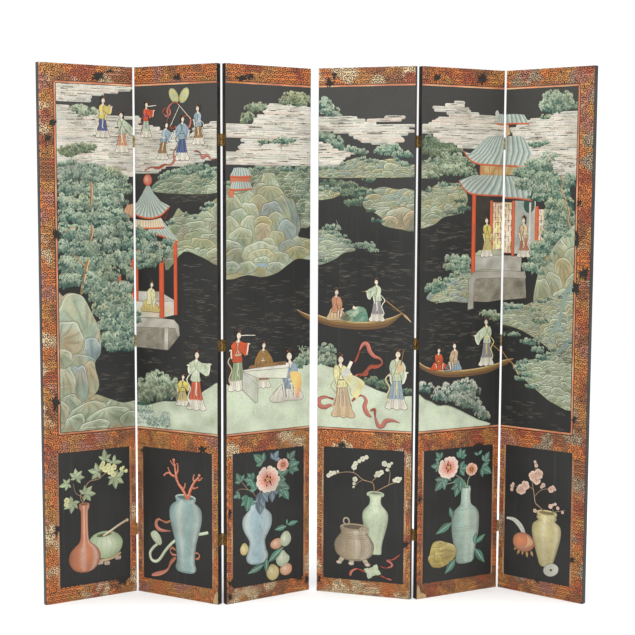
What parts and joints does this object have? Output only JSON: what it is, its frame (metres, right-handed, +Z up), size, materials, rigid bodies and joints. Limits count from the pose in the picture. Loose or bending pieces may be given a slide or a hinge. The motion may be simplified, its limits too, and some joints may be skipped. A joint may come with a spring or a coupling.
{
  "type": "folding lacquer screen",
  "caption": "Free-standing folding floor screen of tall hinged panels, with a painted and incised lacquer picture on the front, plain black lacquer behind and brass butt hinges.",
  "frame": {"origin": "on the floor, under the middle of the box round the screen as it stands", "axes": "+X to the viewer's right along the row of panels, +Y away from the viewer, from the painted side to the back, +Z up"},
  "size_m": [2.1734, 0.325, 2.134],
  "materials": {
    "board_lacquer": "black lacquered softwood edge, satin, rubbed",
    "painted_lacquer": "black lacquer over gesso, satin, incised and painted",
    "back_lacquer": "black lacquer over gesso, satin, fine cracks",
    "hinge_brass": "aged, dull",
    "pin_brass": "darkened"
  },
  "bodies": {
    "panel_1": {"panel_1_board": "board_lacquer", "panel_1_painted_coat": "painted_lacquer", "panel_1_back_coat": "back_lacquer", "fold_1_2_low_left_leaf": "hinge_brass", "fold_1_2_low_pin": "pin_brass", "fold_1_2_middle_left_leaf": "hinge_brass", "fold_1_2_middle_pin": "pin_brass", "fold_1_2_top_left_leaf": "hinge_brass", "fold_1_2_top_pin": "pin_brass"},
    "panel_2": {"panel_2_board": "board_lacquer", "panel_2_painted_coat": "painted_lacquer", "panel_2_back_coat": "back_lacquer", "fold_1_2_low_right_leaf": "hinge_brass", "fold_1_2_middle_right_leaf": "hinge_brass", "fold_1_2_top_right_leaf": "hinge_brass", "fold_2_3_low_left_leaf": "hinge_brass", "fold_2_3_low_pin": "pin_brass", "fold_2_3_middle_left_leaf": "hinge_brass", "fold_2_3_middle_pin": "pin_brass", "fold_2_3_top_left_leaf": "hinge_brass", "fold_2_3_top_pin": "pin_brass"},
    "panel_3": {"panel_3_board": "board_lacquer", "panel_3_painted_coat": "painted_lacquer", "panel_3_back_coat": "back_lacquer", "fold_2_3_low_right_leaf": "hinge_brass", "fold_2_3_middle_right_leaf": "hinge_brass", "fold_2_3_top_right_leaf": "hinge_brass"},
    "panel_4": {"panel_4_board": "board_lacquer", "panel_4_painted_coat": "painted_lacquer", "panel_4_back_coat": "back_lacquer", "fold_4_5_low_left_leaf": "hinge_brass", "fold_4_5_low_pin": "pin_brass", "fold_4_5_middle_left_leaf": "hinge_brass", "fold_4_5_middle_pin": "pin_brass", "fold_4_5_top_left_leaf": "hinge_brass", "fold_4_5_top_pin": "pin_brass"},
    "panel_5": {"panel_5_board": "board_lacquer", "panel_5_painted_coat": "painted_lacquer", "panel_5_back_coat": "back_lacquer", "fold_4_5_low_right_leaf": "hinge_brass", "fold_4_5_middle_right_leaf": "hinge_brass", "fold_4_5_top_right_leaf": "hinge_brass", "fold_5_6_low_left_leaf": "hinge_brass", "fold_5_6_low_pin": "pin_brass", "fold_5_6_middle_left_leaf": "hinge_brass", "fold_5_6_middle_pin": "pin_brass", "fold_5_6_top_left_leaf": "hinge_brass", "fold_5_6_top_pin": "pin_brass"},
    "panel_6": {"panel_6_board": "board_lacquer", "panel_6_painted_coat": "painted_lacquer", "panel_6_back_coat": "back_lacquer", "fold_5_6_low_right_leaf": "hinge_brass", "fold_5_6_middle_right_leaf": "hinge_brass", "fold_5_6_top_right_leaf": "hinge_brass"}
  },
  "joints": [
    {"name": "fold_1_2", "type": "hinge", "parent": "panel_2", "child": "panel_1", "pos_m": [-0.7367, 0.05625, 1.04], "axis": [0, 0, 1], "range_deg": [-64, 116]},
    {"name": "fold_2_3", "type": "hinge", "parent": "panel_2", "child": "panel_3", "pos_m": [-0.37321, -0.12188, 1.04], "axis": [0, 0, 1], "range_deg": [-65.5, 114.5]},
    {"name": "fold_4_5", "type": "hinge", "parent": "panel_5", "child": "panel_4", "pos_m": [0.3929, -0.03229, 1.04], "axis": [0, 0, 1], "range_deg": [-132, 48]},
    {"name": "fold_5_6", "type": "hinge", "parent": "panel_5", "child": "panel_6", "pos_m": [0.75944, 0.13947, 1.04], "axis": [0, 0, 1], "range_deg": [-111, 69]},
    {"name": "section_spacing", "type": "slide", "parent": "panel_2", "child": "panel_5", "axis": [1, 0, 0], "range_m": [0, 0.3]}
  ]
}
